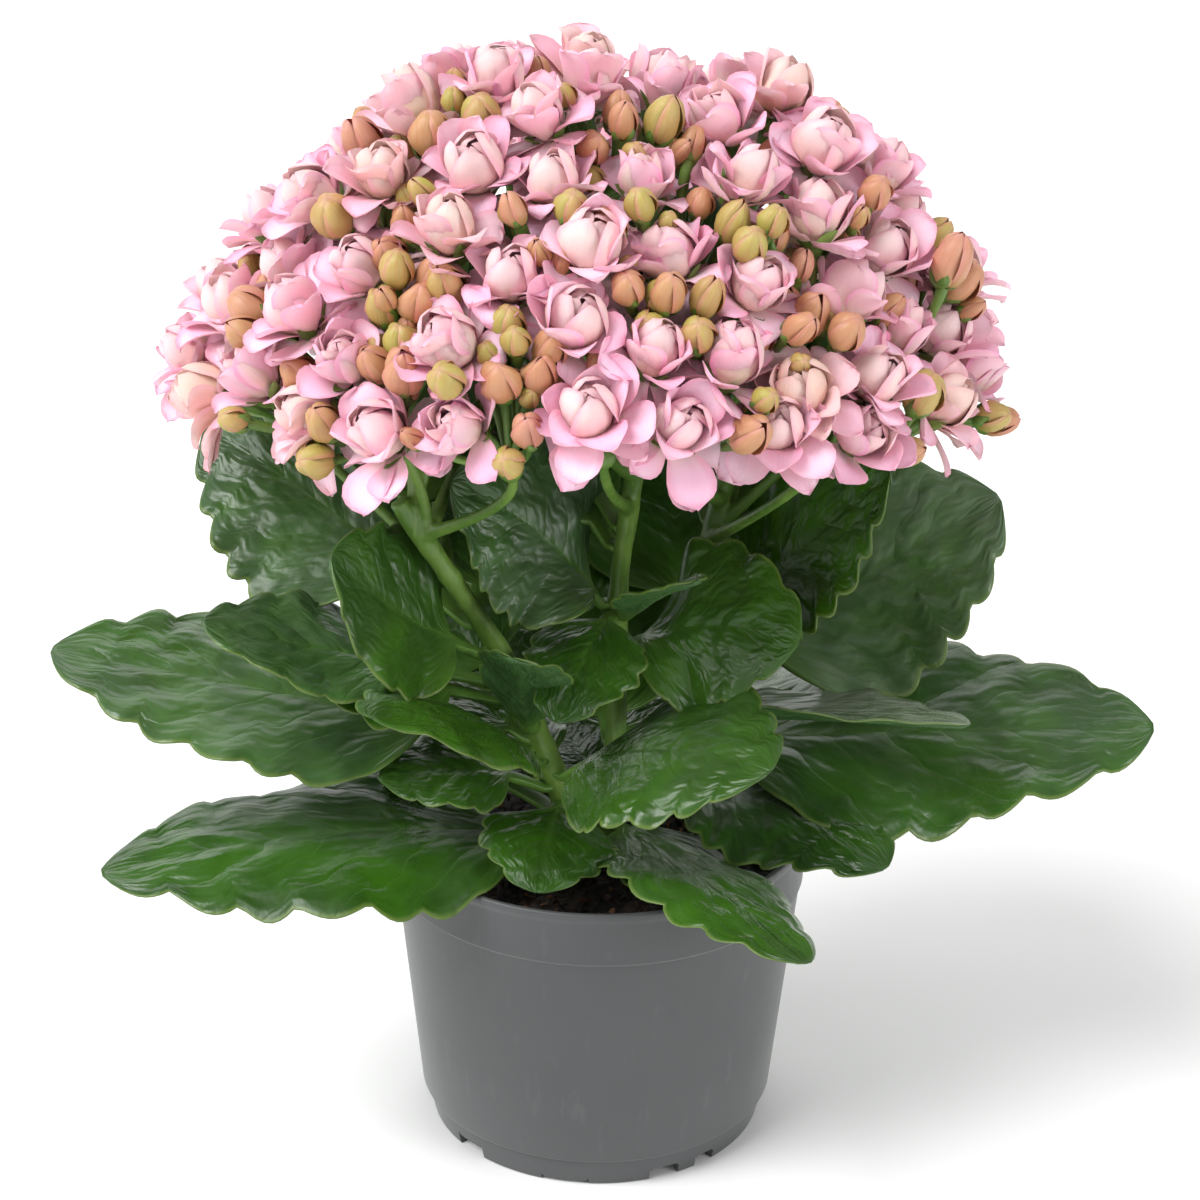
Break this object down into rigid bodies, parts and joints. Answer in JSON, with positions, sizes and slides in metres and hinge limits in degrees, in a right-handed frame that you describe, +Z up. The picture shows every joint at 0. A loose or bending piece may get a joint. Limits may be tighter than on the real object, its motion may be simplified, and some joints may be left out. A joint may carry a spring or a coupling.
{
  "type": "potted plant",
  "caption": "Flowering potted kalanchoe: leafy stems in a plastic grower's pot of peat, topped by a dense dome of double blooms and buds.",
  "frame": {"origin": "on the table under the middle of the plant and pot, at the bottom of the bounding box", "axes": "+Z up from the table to the top of the flowers; the pictured side faces -Y; +X to the right in the picture"},
  "size_m": [0.2662, 0.1695, 0.2764],
  "materials": {
    "pot": "satin moulded grey plastic",
    "soil": "dull crumbly dark peat",
    "stem": "smooth, faintly waxy green stem",
    "leaf": "thick glossy dark green leaf",
    "flower": "soft silky pink petals"
  },
  "bodies": {
    "root": {"pot": "pot", "soil": "soil", "stem_left": "stem", "stem_centre": "stem", "stem_right": "stem", "leaf_far_left": "leaf", "leaf_front_left": "leaf", "leaf_far_right": "leaf", "leaf_high_right": "leaf", "leaf_high_left": "leaf", "leaf_front_right": "leaf", "leaf_front_low": "leaf", "leaf_low_right": "leaf", "leaf_upper_mid": "leaf", "leaf_small_left": "leaf", "leaf_folded_right": "leaf", "leaf_tall_right": "leaf", "leaf_narrow_right": "leaf", "leaf_dark_left": "leaf", "leaf_front_mid_left": "leaf", "leaf_low_left": "leaf", "leaf_inner_left": "leaf", "leaf_curled": "leaf", "leaf_edge_on": "leaf", "leaf_dark_right": "leaf", "leaf_round_low": "leaf", "leaf_shaded_low": "leaf", "leaf_inner_mid": "leaf", "leaf_inner_right": "leaf", "leaf_under_front": "leaf", "leaf_low_back": "leaf", "leaf_under_left": "leaf", "leaf_inner_back": "leaf", "leaf_back_left": "leaf", "leaf_back": "leaf", "leaf_back_right": "leaf", "leaf_back_high": "leaf", "leaf_back_high_right": "leaf", "leaf_back_high_left": "leaf", "cyme_a": "flower", "cyme_b": "flower", "cyme_c": "flower", "cyme_d": "flower", "cyme_e": "flower", "cyme_f": "flower", "cyme_g": "flower", "cyme_h": "flower", "cyme_i": "flower", "cyme_j": "flower", "cyme_k": "flower", "cyme_l": "flower", "cyme_m": "flower", "cyme_n": "flower", "cyme_o": "flower", "cyme_p": "flower", "cyme_q": "flower", "cyme_r": "flower", "cyme_s": "flower", "cyme_t": "flower", "cyme_u": "flower"}
  },
  "joints": []
}
